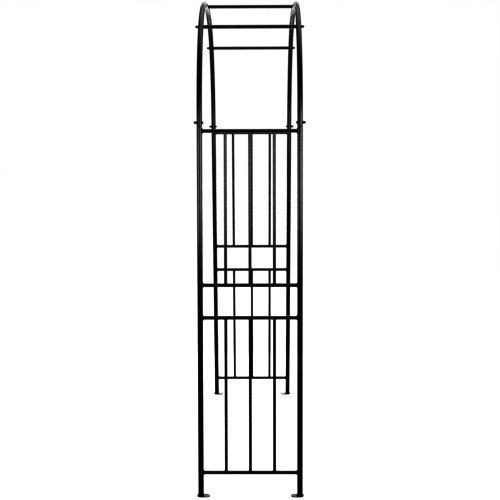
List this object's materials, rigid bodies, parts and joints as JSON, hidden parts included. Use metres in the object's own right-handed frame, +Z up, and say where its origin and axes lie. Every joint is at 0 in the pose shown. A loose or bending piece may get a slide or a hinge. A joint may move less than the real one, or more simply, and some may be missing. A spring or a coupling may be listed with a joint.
{
  "type": "metal trellis arch",
  "caption": "Free-standing garden arch of round black steel tube: trellis side panels that splay to flat feet, bent hoops and crossbars overhead.",
  "frame": {"origin": "on the ground, midway between the four feet", "axes": "+X along the span, from the left side panel to the right one; +Y through the arch, from front to back; +Z up"},
  "size_m": [1.456, 0.4566, 2.0913],
  "materials": {
    "powder_coat": "satin black powder coat over steel tube",
    "foot_coat": "satin black powder coat over flat steel plate, a little scuffed",
    "black_zinc": "black zinc-plated screws and cap nuts, semi-gloss"
  },
  "bodies": {
    "root": {"crossbar_crown": "powder_coat", "crossbar_crown_nut_back": "black_zinc", "crossbar_crown_nut_front": "black_zinc", "crossbar_crown_stud_back": "black_zinc", "crossbar_crown_stud_front": "black_zinc", "crossbar_left": "powder_coat", "crossbar_left_nut_back": "black_zinc", "crossbar_left_nut_front": "black_zinc", "crossbar_left_stud_back": "black_zinc", "crossbar_left_stud_front": "black_zinc", "crossbar_right": "powder_coat", "crossbar_right_nut_back": "black_zinc", "crossbar_right_nut_front": "black_zinc", "crossbar_right_stud_back": "black_zinc", "crossbar_right_stud_front": "black_zinc", "hoop_back": "powder_coat", "hoop_front": "powder_coat", "left_foot_plate_back": "foot_coat", "left_foot_plate_front": "foot_coat", "left_joint_bolt_back": "black_zinc", "left_joint_bolt_front": "black_zinc", "left_joint_nut_back": "black_zinc", "left_joint_nut_front": "black_zinc", "left_post_back": "powder_coat", "left_post_front": "powder_coat", "left_rail_bottom": "powder_coat", "left_rail_lower_middle": "powder_coat", "left_rail_top": "powder_coat", "left_rail_upper_middle": "powder_coat", "left_spigot_back": "powder_coat", "left_spigot_front": "powder_coat", "left_spindle_lower_1": "powder_coat", "left_spindle_lower_2": "powder_coat", "left_spindle_lower_3": "powder_coat", "left_spindle_upper_1": "powder_coat", "left_spindle_upper_2": "powder_coat", "left_spindle_upper_3": "powder_coat", "right_foot_plate_back": "foot_coat", "right_foot_plate_front": "foot_coat", "right_joint_bolt_back": "black_zinc", "right_joint_bolt_front": "black_zinc", "right_joint_nut_back": "black_zinc", "right_joint_nut_front": "black_zinc", "right_post_back": "powder_coat", "right_post_front": "powder_coat", "right_rail_bottom": "powder_coat", "right_rail_lower_middle": "powder_coat", "right_rail_top": "powder_coat", "right_rail_upper_middle": "powder_coat", "right_spigot_back": "powder_coat", "right_spigot_front": "powder_coat", "right_spindle_lower_1": "powder_coat", "right_spindle_lower_2": "powder_coat", "right_spindle_lower_3": "powder_coat", "right_spindle_upper_1": "powder_coat", "right_spindle_upper_2": "powder_coat", "right_spindle_upper_3": "powder_coat"}
  },
  "joints": []
}
